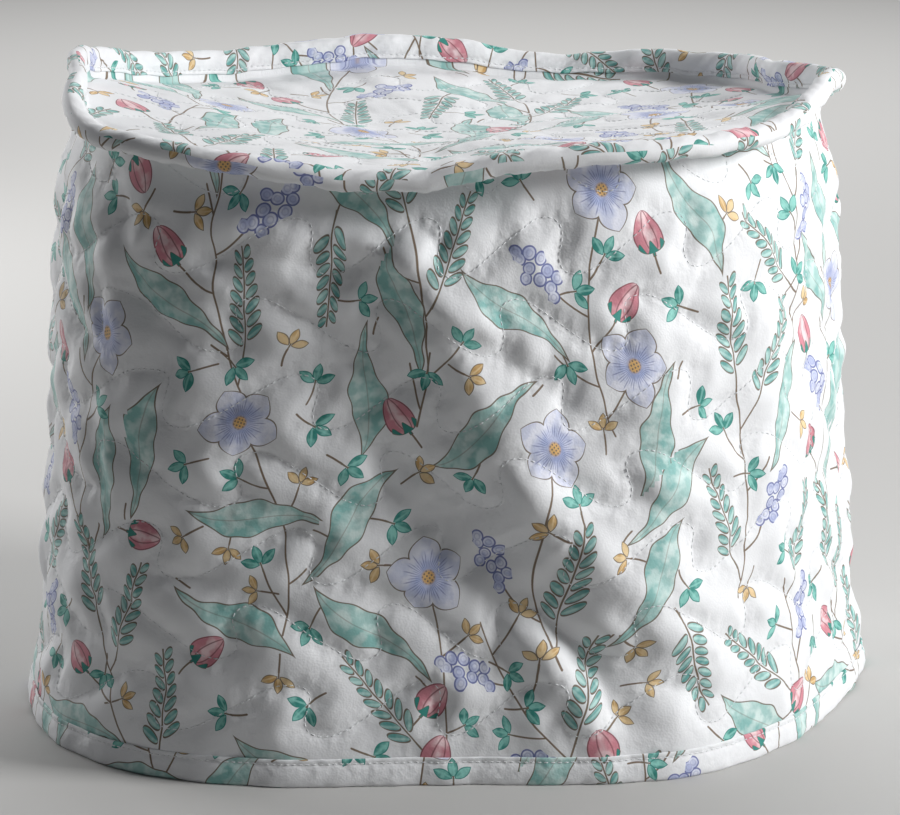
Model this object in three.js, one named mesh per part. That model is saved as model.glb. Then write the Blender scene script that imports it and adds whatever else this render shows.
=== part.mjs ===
import * as THREE from 'three';

// Quilted cotton cover for an oval slow cooker, standing empty and hollow on its hem.
// Millimetres, +Z up. The oval's long axis lies along X and its front faces -Y.
// Angles are in degrees, anticlockwise from +X seen from above.

// Driving dimensions
const hemOval = { length: 400, depth: 298, squareness: 2.3 };
const rimOval = { length: 352, depth: 268, squareness: 2.2 };
const seamHeight = 281;
const shoulder = { out: 7, drop: 24 };
const hemFlare = { out: 5, rise: 30 };
const columns = 84;
const wallRows = 19;
const bendRows = 2;
const panelRings = 5;

// Thickness of each cloth, and the space kept between two cloths
const quilted = 3;
const quiltedInSeam = 1.5;
const quiltedInHem = 1.8;
const bindingCloth = 1.2;
const layerGap = 0.3;
const stripGap = 0.35;
const crownGap = 0.8;
const stripRound = 0.9;

// The standing seam: both cloths turn up together and a folded strip covers their edges
const seam = { height: 14.5, bandBend: 8, panelBend: 6, bindingFoot: 2.5, upright: 8, flopped: 86 };
const hemStrip = { height: 12.5, ease: 7 };

// The stretch of the standing seam that has flopped outwards over the front
const flop = { from: -178, to: 8, soft: 24 };

// Uneven places round the oval: reach at the hem and at the rim, height of the rim, lean of the seam
const unevenPlaces = [
  { at: -150, width: 18, hem: 0, rim: 9, up: 0, lean: -2 },
  { at: -115, width: 24, hem: -8, rim: -8, up: -13, lean: 8 },
  { at: -68, width: 20, hem: 14, rim: 6, up: -2, lean: 4 },
  { at: -25, width: 15, hem: -10, rim: -8, up: 7, lean: -24 },
  { at: 4, width: 14, hem: 10, rim: -7, up: 0, lean: -16 },
  { at: 30, width: 16, hem: -3, rim: 3, up: -3, lean: 0 },
  { at: 56, width: 14, hem: 5, rim: -3, up: -5, lean: 32 },
  { at: 92, width: 18, hem: 3, rim: 2, up: 4, lean: -6 },
  { at: 126, width: 18, hem: -4, rim: 4, up: -1, lean: 2 },
  { at: 170, width: 24, hem: 0, rim: -6, up: 13, lean: 0 },
];

// Folds of the wall: middle, size across and along, turn from upright, push outwards
const wallFolds = [
  { at: -102, height: 200, across: 25, along: 90, turn: 22, push: 8 },
  { at: -77, height: 92, across: 22, along: 62, turn: 45, push: 7 },
  { at: -119, height: 165, across: 25, along: 80, turn: 22, push: -8 },
  { at: -97, height: 98, across: 16, along: 60, turn: 48, push: -7 },
  { at: -86, height: 48, across: 8, along: 34, turn: 27, push: 5 },
  { at: -80, height: 52, across: 8, along: 34, turn: 27, push: -4 },
  { at: -151, height: 212, across: 9, along: 42, turn: 19, push: -6 },
  { at: -134, height: 246, across: 10, along: 42, turn: 80, push: 4 },
  { at: -128, height: 62, across: 22, along: 44, turn: -20, push: 4 },
  { at: -45, height: 140, across: 20, along: 90, turn: 8, push: 4 },
  { at: -14, height: 120, across: 12, along: 100, turn: 4, push: -4 },
  { at: 30, height: 150, across: 22, along: 100, turn: 14, push: -5 },
  { at: 62, height: 130, across: 30, along: 110, turn: -12, push: 5 },
  { at: 92, height: 190, across: 24, along: 90, turn: 8, push: -6 },
  { at: 104, height: 70, across: 22, along: 60, turn: 30, push: 4 },
  { at: 140, height: 120, across: 26, along: 90, turn: 16, push: -5 },
];

// Shallow dips and rises of the top
const topFolds = [
  { x: -70, y: 10, across: 70, along: 60, turn: 20, push: -3 },
  { x: 60, y: -30, across: 26, along: 80, turn: -65, push: 3 },
  { x: 90, y: 40, across: 40, along: 60, turn: 30, push: -3 },
];

// The top sags in the middle, and its edge climbs at a small slope. Its folds fade out near the seam.
const topSag = 9;
const topSlope = 6;
const topDish = 1.6;
const topFoldFade = 4;
const middleRing = 0.5;

// Rows of wavy quilting stitches press the cloth in; it puffs up between them
const quilting = { pitch: 34, wave: 66, wavesRound: 17, swing: 12, shear: 10, puff: 2.6, groove: 10 };

// A turn below this, in radians, counts as straight
const straightTurn = 1e-6;

const degrees = Math.PI / 180;
const mix = (a, b, share) => a + (b - a) * share;
const bell = (distance, width) => Math.exp(-((distance / width) ** 2));
const angleGap = (a, b) => ((a - b + 540) % 360) - 180;
const smooth = (value) => THREE.MathUtils.smoothstep(value, 0, 1);
const columnAngle = (column) => -180 + (360 * column) / columns;

// Distance from the middle to a squared oval, in the direction of an angle
function ovalReach(angle, oval) {
  const alongShare = Math.abs(Math.cos(angle * degrees)) / (oval.length / 2);
  const acrossShare = Math.abs(Math.sin(angle * degrees)) / (oval.depth / 2);
  const power = oval.squareness;
  return (alongShare ** power + acrossShare ** power) ** (-1 / power);
}

// Sum of one column of the uneven places at an angle
function uneven(angle, name) {
  return unevenPlaces.reduce((sum, place) => {
    return sum + place[name] * bell(angleGap(angle, place.at), place.width);
  }, 0);
}

// Share by which the standing seam has flopped outwards: 0 at the back, 1 along the front
function flopShare(angle) {
  const past = (angle - flop.from) / flop.soft;
  const before = (flop.to - angle) / flop.soft;
  return smooth(past) * smooth(before);
}

function seamLean(angle) {
  return mix(seam.upright, seam.flopped, flopShare(angle)) + uneven(angle, 'lean');
}

function seamLevel(angle) {
  return seamHeight + uneven(angle, 'up');
}

// Push of one turned oval fold at a place (across, up) measured from its middle
function foldPush(fold, across, up) {
  const turned = fold.turn * degrees;
  const side = across * Math.cos(turned) + up * Math.sin(turned);
  const along = up * Math.cos(turned) - across * Math.sin(turned);
  return fold.push * bell(side, fold.across) * bell(along, fold.along);
}

// Puff of the quilting: nought on a stitch line, full midway between two of them.
// The lines are level waves, sheared so that their lobes lean, and each row is shifted.
function quiltPuff(across, up) {
  const sheared = across + quilting.shear * Math.sin((Math.PI * 2 * up) / quilting.pitch / 2);
  const swing = quilting.swing * Math.sin((Math.PI * 2 * sheared) / quilting.wave);
  const row = (up + swing) / quilting.pitch;
  const away = Math.abs(row - Math.round(row)) * quilting.pitch;
  return quilting.puff * (1 - bell(away, quilting.groove));
}

// Reach of the wall's middle surface, at an angle and a height
function wallReach(angle, height, wallTop) {
  const share = height / wallTop;
  const hem = ovalReach(angle, hemOval) + uneven(angle, 'hem');
  const rim = ovalReach(angle, rimOval) + uneven(angle, 'rim') + shoulder.out;
  let reach = mix(hem - hemFlare.out, rim, share);
  reach += hemFlare.out * bell(height, hemFlare.rise);
  reach -= shoulder.out * bell(wallTop - height, shoulder.drop);
  const fade = smooth(height / hemFlare.rise) * smooth((wallTop - height) / shoulder.drop);
  const middleReach = (hem + rim) / 2;
  for (const fold of wallFolds) {
    const across = angleGap(angle, fold.at) * degrees * middleReach;
    reach += fade * foldPush(fold, across, height - fold.height);
  }
  return reach + fade * quiltPuff((angle / 360) * quilting.wavesRound * quilting.wave, height);
}

function place(angle, reach, height) {
  return new THREE.Vector3(reach * Math.cos(angle * degrees), reach * Math.sin(angle * degrees), height);
}

// Step from the start of an even bend to its end. Headings are radians from upright, outwards.
function bendStep(heading, turn, length) {
  const half = turn / 2;
  const chord = Math.abs(half) < straightTurn ? length : (length * Math.sin(half)) / half;
  return { out: chord * Math.sin(heading + half), up: chord * Math.cos(heading + half) };
}

// Everything about the standing seam at one angle: where it starts and which way it points
function seamAt(angle) {
  const lean = seamLean(angle) * degrees;
  const level = seamLevel(angle);
  const bend = bendStep(0, lean, seam.bandBend);
  const wallTop = level - bend.up;
  const wallTopReach = wallReach(angle, wallTop, wallTop);
  return { angle, lean, level, wallTop, wallTopReach, reach: wallTopReach + bend.out };
}

function alongSeam(start, distance) {
  const reach = start.reach + distance * Math.sin(start.lean);
  return place(start.angle, reach, start.level + distance * Math.cos(start.lean));
}

// Rows of the wall's middle surface: through the hem, up the wall, and round the bend under the seam
function wallRowsUp() {
  const hemHeights = [hemEdge, hemStrip.height];
  const wallShares = Array.from({ length: wallRows }, (unused, row) => row / (wallRows - 1));
  const bendShares = Array.from({ length: bendRows }, (unused, row) => (row + 1) / (bendRows + 1));
  const hemRows = hemHeights.map((height) => seams.map((start) => wallPlace(start, height)));
  const wall = wallShares.map((share) => seams.map((start) => {
    return wallPlace(start, mix(hemStrip.height + hemStrip.ease, start.wallTop, share));
  }));
  const bend = bendShares.map((share) => seams.map((start) => {
    const step = bendStep(0, start.lean * share, seam.bandBend * share);
    return place(start.angle, start.wallTopReach + step.out, start.wallTop + step.up);
  }));
  return { hemRows, wall, bend };
}

function wallPlace(start, height) {
  return place(start.angle, wallReach(start.angle, height, start.wallTop), height);
}

// Unit normals of a grid of rows, each row closed round the oval
function rowNormals(rows) {
  return rows.map((row, level) => row.map((unused, column) => {
    const next = row[(column + 1) % row.length];
    const last = row[(column + row.length - 1) % row.length];
    const above = rows[Math.min(level + 1, rows.length - 1)][column];
    const below = rows[Math.max(level - 1, 0)][column];
    const round = new THREE.Vector3().subVectors(next, last);
    const along = new THREE.Vector3().subVectors(above, below);
    return round.cross(along).normalize();
  }));
}

// A row moved out along its normals, with its level up the cloth
function offsetRow(row, normals, distance, level) {
  const points = row.map((point, column) => point.clone().addScaledVector(normals[column], distance));
  return { points, level };
}

function indexedGeometry(corners, faces) {
  const geometry = new THREE.BufferGeometry();
  geometry.setAttribute('position', new THREE.Float32BufferAttribute(corners, 3));
  geometry.setIndex(faces);
  geometry.computeVertexNormals();
  return geometry;
}

// Two triangles for each step of the strip between two rows. A strip that comes down the cloth
// is cut along the same diagonals as one that goes up, so that layers lie alike.
function stripFaces(rows, index, nextIndex) {
  const size = rows[index].points.length;
  const falls = rows[nextIndex].level < rows[index].level;
  const faces = [];
  for (let column = 0; column < size; column += 1) {
    const nextColumn = (column + 1) % size;
    const a = index * size + column;
    const b = index * size + nextColumn;
    const c = nextIndex * size + nextColumn;
    const d = nextIndex * size + column;
    faces.push(...(falls ? [a, b, d, b, c, d] : [a, b, c, a, c, d]));
  }
  return faces;
}

// A closed ring of cloth: its section's rows joined in turn, and the last one to the first
function ringGeometry(rows) {
  const corners = rows.flatMap((row) => row.points).flatMap((point) => point.toArray());
  const faces = rows.flatMap((unused, index) => stripFaces(rows, index, (index + 1) % rows.length));
  return indexedGeometry(corners, faces);
}

// A closed disc of cloth: its rows joined in turn, each end drawn together at a middle point
function discGeometry(rows, underMiddle, upperMiddle) {
  const size = rows[0].points.length;
  const points = [...rows.flatMap((row) => row.points), underMiddle, upperMiddle];
  const underIndex = rows.length * size;
  const upperIndex = underIndex + 1;
  const faces = rows.slice(1).flatMap((unused, index) => stripFaces(rows, index, index + 1));
  const lastRow = (rows.length - 1) * size;
  for (let column = 0; column < size; column += 1) {
    const nextColumn = (column + 1) % size;
    faces.push(underIndex, nextColumn, column);
    faces.push(lastRow + column, lastRow + nextColumn, upperIndex);
  }
  return indexedGeometry(points.flatMap((point) => point.toArray()), faces);
}

// The side band: hem edge, wall, bend, and the edge that stands up in the seam
function sideBand() {
  const { hemRows, wall, bend } = bandGrid;
  const sections = [
    ...hemRows.map(() => ({ inner: -quiltedInHem / 2, outer: quiltedInHem / 2 })),
    ...wall.map(() => ({ inner: -quilted / 2, outer: quilted / 2 })),
    ...bend.map((unused, level) => {
      const share = 1 - (1 - (level + 1) / (bendRows + 1)) ** 2;
      return {
        inner: mix(-quilted / 2, layerGap / 2, share),
        outer: mix(quilted / 2, layerGap / 2 + quiltedInSeam, share),
      };
    }),
    ...standingRows.map(() => ({ inner: layerGap / 2, outer: layerGap / 2 + quiltedInSeam })),
  ];
  const face = (side) => sections.map((section, level) => {
    return offsetRow(bandRows[level], bandNormals[level], section[side], level);
  });
  return ringGeometry([...face('outer'), ...face('inner').reverse()]);
}

// Place on the top's underside, at a share of the way from its middle to a point of its edge
function topPlace(edge, share) {
  const x = edge.x * share;
  const y = edge.y * share;
  let height = mix(topMiddle, edge.z, share ** topDish);
  const fade = smooth((1 - share) * topFoldFade);
  for (const fold of topFolds) {
    height += fade * foldPush(fold, x - fold.x, y - fold.y);
  }
  return new THREE.Vector3(x, y, height);
}

// The top: a disc whose edge bends up and stands in the seam, inside the band's edge
function topPanel() {
  const bendShares = Array.from({ length: bendRows }, (unused, row) => (row + 1) / bendRows);
  const upright = [...standingRows].reverse();
  const bend = bendShares.map((share) => seams.map((start) => {
    const whole = Math.PI / 2 - topSlope * degrees - start.lean;
    const step = bendStep(start.lean + Math.PI, whole * share, seam.panelBend * share);
    return place(start.angle, start.reach + step.out, start.level + step.up);
  }));
  const edges = bend[bend.length - 1];
  const ringShares = Array.from({ length: panelRings }, (unused, ring) => {
    return 1 - (ring + 1) / (panelRings + middleRing);
  });
  const rings = ringShares.map((share) => edges.map((edge) => topPlace(edge, share)));
  const rows = [...upright, ...bend, ...rings];
  const inward = rowNormals(rows);
  [...standingNormals].reverse().forEach((normals, level) => {
    inward[level] = normals.map((normal) => normal.clone().negate());
  });
  const thickness = (level) => {
    const share = (level - upright.length + 1) / (bendRows + 1);
    return mix(quiltedInSeam, quilted, THREE.MathUtils.clamp(share, 0, 1));
  };
  const face = (offset) => rows.map((row, level) => offsetRow(row, inward[level], offset(level), -level));
  const under = face(() => layerGap / 2);
  const upper = face((level) => layerGap / 2 + thickness(level));
  const middle = topPlace(edges[0], 0);
  const underMiddle = new THREE.Vector3(0, 0, middle.z + layerGap / 2);
  const upperMiddle = new THREE.Vector3(0, 0, middle.z + layerGap / 2 + quilted);
  return discGeometry([...under.reverse(), ...upper], underMiddle, upperMiddle);
}

// A strip folded over an edge: its section is half given by levels, and mirrored on the other side
function foldedStrip(clothHalf, levels, rowAt) {
  const innerSide = clothHalf + stripGap;
  const outerSide = innerSide + bindingCloth;
  const half = [
    { side: outerSide - stripRound, at: levels.crown },
    { side: outerSide, at: levels.clothEdge },
    { side: outerSide, at: levels.foot },
    { side: innerSide, at: levels.foot },
    { side: innerSide, at: levels.clothEdge },
    { side: innerSide, at: levels.underCrown },
  ];
  const otherHalf = [...half].reverse().map((corner) => ({ side: -corner.side, at: corner.at }));
  return [...half, ...otherHalf].map((corner) => rowAt(corner.at, corner.side));
}

function rimBinding() {
  const clothHalf = layerGap / 2 + quiltedInSeam;
  const levels = {
    crown: seam.height,
    underCrown: seam.height - bindingCloth,
    clothEdge,
    foot: seam.bindingFoot,
  };
  const rowAt = (distance, side) => {
    const row = seams.map((start) => alongSeam(start, distance));
    const normalsRow = seamDistances.findIndex((seamDistance) => seamDistance >= distance);
    return offsetRow(row, seamNormals[normalsRow], side, distance);
  };
  return ringGeometry(foldedStrip(clothHalf, levels, rowAt).reverse());
}

function hemBinding() {
  const [low, high] = bandGrid.hemRows;
  const rise = hemStrip.height - hemEdge;
  const levels = { crown: 0, underCrown: bindingCloth, clothEdge: hemEdge, foot: hemStrip.height };
  const rowAt = (height, side) => {
    const row = low.map((point, column) => {
      return point.clone().lerp(high[column], (height - hemEdge) / rise).setZ(height);
    });
    return offsetRow(row, hemNormals, side, height);
  };
  return ringGeometry(foldedStrip(quiltedInHem / 2, levels, rowAt));
}

function piece(name, geometry, colour, roughness) {
  const material = new THREE.MeshStandardMaterial({ color: colour, roughness, metalness: 0 });
  const mesh = new THREE.Mesh(geometry, material);
  mesh.name = name;
  return mesh;
}

const hemEdge = bindingCloth + layerGap;
const clothEdge = seam.height - bindingCloth - crownGap;
const seams = Array.from({ length: columns }, (unused, column) => seamAt(columnAngle(column)));
const bandGrid = wallRowsUp();

// The standing seam's middle rows: its foot, the binding's foot, the cloth edge and the binding's top
const seamDistances = [0, seam.bindingFoot, clothEdge, seam.height];
const seamRows = seamDistances.map((distance) => seams.map((start) => alongSeam(start, distance)));
const seamNormals = rowNormals(seamRows);
const standingRows = seamRows.slice(0, 3);
const standingNormals = seamNormals.slice(0, 3);

const hemNormals = rowNormals(bandGrid.hemRows)[0].map((normal) => normal.setZ(0).normalize());
const lowerRows = [...bandGrid.hemRows, ...bandGrid.wall, ...bandGrid.bend];
const bandRows = [...lowerRows, ...standingRows];
const bandNormals = [
  hemNormals,
  hemNormals,
  ...rowNormals(bandRows).slice(2, lowerRows.length),
  ...standingNormals,
];
const topMiddle = seamHeight - seam.panelBend - topSag;

const cover = new THREE.Group();
cover.add(piece('top_panel', topPanel(), '#e3e6ea', 0.9));
cover.add(piece('side_band', sideBand(), '#e3e6ea', 0.9));
cover.add(piece('rim_binding', rimBinding(), '#dfe3e6', 0.88));
cover.add(piece('hem_binding', hemBinding(), '#dfe3e6', 0.88));

// The origin goes under the middle of the whole cover, on the surface it stands on
const middle = new THREE.Box3().setFromObject(cover).getCenter(new THREE.Vector3());
cover.position.set(-middle.x, -middle.y, 0);

export default cover;
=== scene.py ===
import math

import bpy
import numpy as np
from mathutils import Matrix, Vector


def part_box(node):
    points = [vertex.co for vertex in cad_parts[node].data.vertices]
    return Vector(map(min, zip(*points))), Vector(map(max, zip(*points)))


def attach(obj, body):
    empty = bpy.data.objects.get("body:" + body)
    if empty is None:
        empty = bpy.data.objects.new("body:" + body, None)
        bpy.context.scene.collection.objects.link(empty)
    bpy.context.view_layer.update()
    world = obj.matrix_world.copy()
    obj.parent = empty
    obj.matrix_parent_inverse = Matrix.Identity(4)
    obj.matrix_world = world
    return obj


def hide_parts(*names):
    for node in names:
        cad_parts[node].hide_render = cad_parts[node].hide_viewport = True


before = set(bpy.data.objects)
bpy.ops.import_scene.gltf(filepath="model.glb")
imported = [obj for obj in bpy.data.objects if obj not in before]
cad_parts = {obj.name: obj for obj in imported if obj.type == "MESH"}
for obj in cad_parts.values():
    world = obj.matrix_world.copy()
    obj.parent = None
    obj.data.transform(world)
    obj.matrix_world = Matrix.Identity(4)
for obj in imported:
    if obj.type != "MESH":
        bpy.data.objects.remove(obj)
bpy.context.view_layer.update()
print("frame loaded:", ", ".join(sorted(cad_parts)))

millimetre = 0.001
tiny = 1e-9

# The standing form, in millimetres from the middle of the oval; angles in degrees, anticlockwise from +X
form = {
    "hemOval": (400, 298, 2.3),  # length, depth, squareness
    "rimOval": (352, 268, 2.2),
    "seamHeight": 281,
    "shoulderOut": 7, "shoulderDrop": 24,
    "flareOut": 5, "flareRise": 30,
    "bandBend": 8, "panelBend": 6,
    "seamTall": 14.5, "clothEdge": 12.5, "bindingFoot": 2.5,
    "upright": 8, "flopped": 86, "flopFrom": -178, "flopTo": 8, "flopSoft": 24,
    "hemEdge": 1.5, "hemStrip": 12.5, "hemEase": 7,
    "topSag": 9, "topSlope": 6, "topDish": 1.6, "topFoldFade": 4,
}

# Uneven places round the oval: at, width, then reach at hem and rim, height of the rim, lean of the seam
unevenPlaces = [
    (-150, 18, 0, 9, 0, -2), (-115, 24, -8, -8, -13, 8), (-68, 20, 14, 6, -2, 4), (-25, 15, -10, -8, 7, -24),
    (4, 14, 10, -7, 0, -20), (-13, 14, 0, 2, 0, -30), (30, 16, -3, 3, -3, 0), (56, 14, 5, -3, -5, 32),
    (92, 18, 3, 2, 4, -6), (126, 18, -4, 4, -1, 2), (170, 24, 0, -6, 13, 0),
]
unevenColumn = {"hem": 2, "rim": 3, "up": 4, "lean": 5}

# Small waves round the oval: how much, then how many of each wave go round and where it starts
ripples = {
    "hem": (1.1, ((11, 0.4), (17, 2.1), (29, 4.0), (41, 1.1))),
    "lean": (3.0, ((13, 1.0), (23, 0.2), (37, 3.3))),
    "up": (0.7, ((19, 2.0), (31, 0.6), (47, 5.0))),
}

# Even fields of low hills: height, size and seed
hillFields = {
    "wall": (0.8, 62, 3), "wallSmall": (0.4, 21, 5), "top": (0.5, 70, 11), "topSmall": (0.2, 22, 12),
    "pucker": (0.34, 8.5, 8),
}

# Folds of the wall: at, height, size across and along, turn from upright, push outwards
wallFolds = [
    (-102, 200, 25, 90, 22, 8), (-77, 92, 22, 62, 45, 7), (-119, 165, 25, 80, 22, -8),
    (-97, 98, 16, 60, 48, -7), (-86, 48, 8, 34, 27, 5), (-80, 52, 8, 34, 27, -4),
    (-151, 212, 9, 42, 19, -6), (-134, 246, 10, 42, 80, 4), (-128, 62, 22, 44, -20, 4),
    (-45, 140, 20, 90, 8, 4), (-14, 120, 12, 100, 4, -4), (30, 150, 22, 100, 14, -5),
    (62, 130, 30, 110, -12, 5), (92, 190, 24, 90, 8, -6), (104, 70, 22, 60, 30, 4),
    (140, 120, 26, 90, 16, -5),
]

# Small creases that only the fine surface has, in the same columns
wallCreases = [
    (-116, 237, 5, 19, 70, 3.2), (-128, 232, 6, 22, 84, -2.6), (-148, 190, 7, 40, -4, -3),
    (-141, 222, 6, 18, 60, 2.4), (-109, 246, 5, 14, 40, -2.2), (-92, 252, 6, 16, 12, 1.8),
    (-99, 205, 5, 26, 60, 1.8), (-88, 178, 6, 24, 52, -1.8), (-72, 138, 6, 26, 48, 1.9),
    (-60, 226, 6, 22, -30, -1.6), (-52, 196, 6, 24, 66, 1.5), (-66, 40, 6, 26, 64, -2),
    (-104, 44, 6, 24, 70, 2.2), (-114, 84, 6, 22, 62, -2.2), (-126, 118, 6, 24, -38, 1.8),
    (-140, 88, 6, 28, 76, -2), (-156, 142, 6, 30, 12, 2), (-38, 76, 6, 26, 30, -1.6),
    (-30, 214, 6, 24, 10, -1.8), (-8, 232, 6, 20, 0, 1.6), (20, 210, 7, 26, 30, 2),
    (48, 92, 7, 30, -40, -2), (76, 214, 7, 24, 50, 1.8), (120, 176, 7, 30, -30, 2),
    (160, 84, 7, 30, 40, -2), (172, 206, 7, 26, 16, 2), (-104, 206, 9, 50, 24, 2.2),
    (-92, 138, 9, 36, 32, 2), (-79, 98, 8, 34, 48, 1.8), (-111, 192, 12, 50, 24, -1.6),
    (-101, 120, 10, 34, 36, -1.4), (-135, 160, 24, 85, 14, -4.5), (-119, 168, 18, 70, 22, 2.6),
    (-126, 84, 22, 50, 30, -3),
]

# Shallow dips and rises of the top: x, y, size across and along, turn, push
topFolds = [(-70, 10, 70, 60, 20, -3), (60, -30, 26, 80, -65, 3), (90, 40, 40, 60, 30, -3)]
topCreases = [
    (-96, -52, 8, 34, 60, 1.6), (-30, -84, 7, 28, 84, -1.4), (30, 62, 9, 40, 70, 1.5),
    (118, -12, 8, 30, 20, -1.5), (-120, 40, 9, 32, 14, 1.6), (96, 66, 8, 26, -40, 1.3),
    (4, -18, 14, 50, 74, -1.2),
]

quilting = {"pitch": 34, "wave": 66, "wavesRound": 17, "swing": 12, "shear": 10, "fullness": 1.1}


# Smooth bump of height 1 with a width: e to the minus square of distance over width
def bell(distance, width):
    return np.exp(-(distance / width) ** 2)


# 0 below 0, 1 above 1, and 3v^2 - 2v^3 between
def smooth(value):
    value = np.clip(value, 0, 1)
    return value * value * (3 - 2 * value)


def mix(low, high, share):
    return low + (high - low) * share


def angleGap(angle, other):
    return (angle - other + 540) % 360 - 180


# Reach of a squared oval: (|cos|/half length)^n + (|sin|/half depth)^n, to the power -1/n
def ovalReach(angle, oval):
    length, depth, squareness = oval
    along = np.abs(np.cos(np.radians(angle))) / (length / 2)
    across = np.abs(np.sin(np.radians(angle))) / (depth / 2)
    return (along ** squareness + across ** squareness) ** (-1 / squareness)


def uneven(angle, name):
    column = unevenColumn[name]
    return sum(place[column] * bell(angleGap(angle, place[0]), place[1]) for place in unevenPlaces)


# Mean of a few sine waves round the oval, whole ones, so that it closes on itself
def roundRipple(angle, name):
    much, waves = ripples[name]
    return much * sum(np.sin(np.radians(angle) * count + phase) for count, phase in waves) / len(waves)


# An even field of small hills: eighteen sine waves of about one size, in all directions, whole ones round
def hills(across, up, name):
    high, size, seed = hillFields[name]
    dice = np.random.RandomState(seed)
    girth = quilting["wavesRound"] * quilting["wave"]
    total = 0
    count = 18
    for turn, stretch, phase in zip(dice.rand(count), dice.rand(count), dice.rand(count)):
        step = 2 * np.pi / (size * mix(0.75, 1.45, stretch))
        aroundStep = np.round(step * np.cos(np.pi * turn) * girth / (2 * np.pi)) * 2 * np.pi / girth
        total = total + np.sin(across * aroundStep + up * step * np.sin(np.pi * turn) + 2 * np.pi * phase)
    return high * total / np.sqrt(count)


# Push of turned oval folds: the push times a bell across the fold times a bell along it
def foldPush(folds, across, up):
    total = 0
    for place, height, wide, tall, turn, push in folds:
        aside = across(place)
        above = up - height
        turned = math.radians(turn)
        side = aside * math.cos(turned) + above * math.sin(turned)
        along = above * math.cos(turned) - aside * math.sin(turned)
        total = total + push * bell(side, wide) * bell(along, tall)
    return total


# Row number of a place, a whole number on each stitch line. A line is a level wave, filled out by
# swing / sqrt(swing^2 + full^2), and sheared so that its lobes lean
def quiltRow(across, up):
    sheared = across + quilting["shear"] * np.sin(np.pi * up / quilting["pitch"])
    swing = np.sin(2 * np.pi * sheared / quilting["wave"])
    full = quilting["fullness"]
    lobed = swing * np.sqrt((1 + full ** 2) / (swing ** 2 + full ** 2))
    return (up + quilting["swing"] * lobed) / quilting["pitch"]


# Distance to the nearest stitch line: how far the row number is from a whole one, over its slope
def quiltDistance(across, up):
    step = 0.6
    row = quiltRow(across, up)
    slopeAcross = (quiltRow(across + step, up) - quiltRow(across - step, up)) / (2 * step)
    slopeUp = (quiltRow(across, up + step) - quiltRow(across, up - step)) / (2 * step)
    return np.abs(row - np.round(row)) / np.sqrt(slopeAcross ** 2 + slopeUp ** 2 + tiny)


def quiltAcross(angle):
    return angle / 360 * quilting["wavesRound"] * quilting["wave"]


relief = {
    "puff": 2.3, "groove": 11.5, "crease": 0.65, "creaseWidth": 2.8, "puckerReach": 7.5,
    "innerShare": 0.35, "topShare": 0.3, "underShare": 0.2, "topFade": 7.5,
}


# Relief of the quilting: full between the lines, drawn in at them, with small puckers across each line
def quiltRelief(across, up):
    away = quiltDistance(across, up)
    height = relief["puff"] * (1 - bell(away, relief["groove"]))
    height = height - relief["crease"] * bell(away, relief["creaseWidth"])
    return height + hills(across, up, "pucker") * bell(away, relief["puckerReach"])


# Fades in above the hem and out under the seam
def wallFade(height, wallTop):
    return smooth(height / form["flareRise"]) * smooth((wallTop - height) / form["shoulderDrop"])


# Reach of the wall's middle surface: a straight wall from hem to rim, flared at the hem and rounded at
# the shoulder, plus its folds, creases and low hills
def wallReach(angle, height, wallTop):
    hem = ovalReach(angle, form["hemOval"]) + uneven(angle, "hem")
    rim = ovalReach(angle, form["rimOval"]) + uneven(angle, "rim") + form["shoulderOut"]
    reach = mix(hem - form["flareOut"], rim, height / wallTop)
    reach = reach + form["flareOut"] * bell(height, form["flareRise"])
    reach = reach - form["shoulderOut"] * bell(wallTop - height, form["shoulderDrop"])
    middleReach = (hem + rim) / 2
    folds = wallFolds + wallCreases
    pushed = foldPush(folds, lambda at: np.radians(angleGap(angle, at)) * middleReach, height)
    across = quiltAcross(angle)
    pushed = pushed + hills(across, height, "wall") + hills(across, height, "wallSmall")
    atHem = roundRipple(angle, "hem") * bell(height, form["flareRise"])
    return reach + wallFade(height, wallTop) * pushed + atHem


# 0 where the seam stands up, 1 where it lies outwards
def flopShare(angle):
    turned = angleGap(angle, 0)
    past = smooth((turned - form["flopFrom"]) / form["flopSoft"])
    return past * smooth((form["flopTo"] - turned) / form["flopSoft"])


def place(angle, reach, height):
    turned = np.radians(angle)
    level = np.broadcast_to(height, np.broadcast(reach, turned).shape)
    return np.stack([reach * np.cos(turned), reach * np.sin(turned), level], axis=-1)


# Step along an even bend: the chord of the arc, laid at half the turn; headings are from upright, outwards
def bendStep(heading, turn, length):
    half = turn / 2
    chord = length * np.sinc(half / np.pi)
    return chord * np.sin(heading + half), chord * np.cos(heading + half)


# Everything about the standing seam at a row of angles
def seamAt(angle):
    lean = mix(form["upright"], form["flopped"], flopShare(angle)) + uneven(angle, "lean")
    lean = np.radians(lean + roundRipple(angle, "lean"))
    level = form["seamHeight"] + uneven(angle, "up") + roundRipple(angle, "up")
    out, rise = bendStep(0, lean, form["bandBend"])
    wallTop = level - rise
    wallTopReach = wallReach(angle, wallTop, wallTop)
    return {"angle": angle, "lean": lean, "level": level, "wallTop": wallTop,
            "wallTopReach": wallTopReach, "reach": wallTopReach + out}


def alongSeam(seam, distance):
    reach = seam["reach"] + distance * np.sin(seam["lean"])
    return place(seam["angle"], reach, seam["level"] + distance * np.cos(seam["lean"]))


# Unit normals of a grid of closed rows: the step round crossed with the step up
def rowNormals(rows):
    around = np.roll(rows, -1, axis=1) - np.roll(rows, 1, axis=1)
    up = np.gradient(rows, axis=0)
    normals = np.cross(around, up)
    return normals / (np.linalg.norm(normals, axis=-1, keepdims=True) + tiny)


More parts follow.
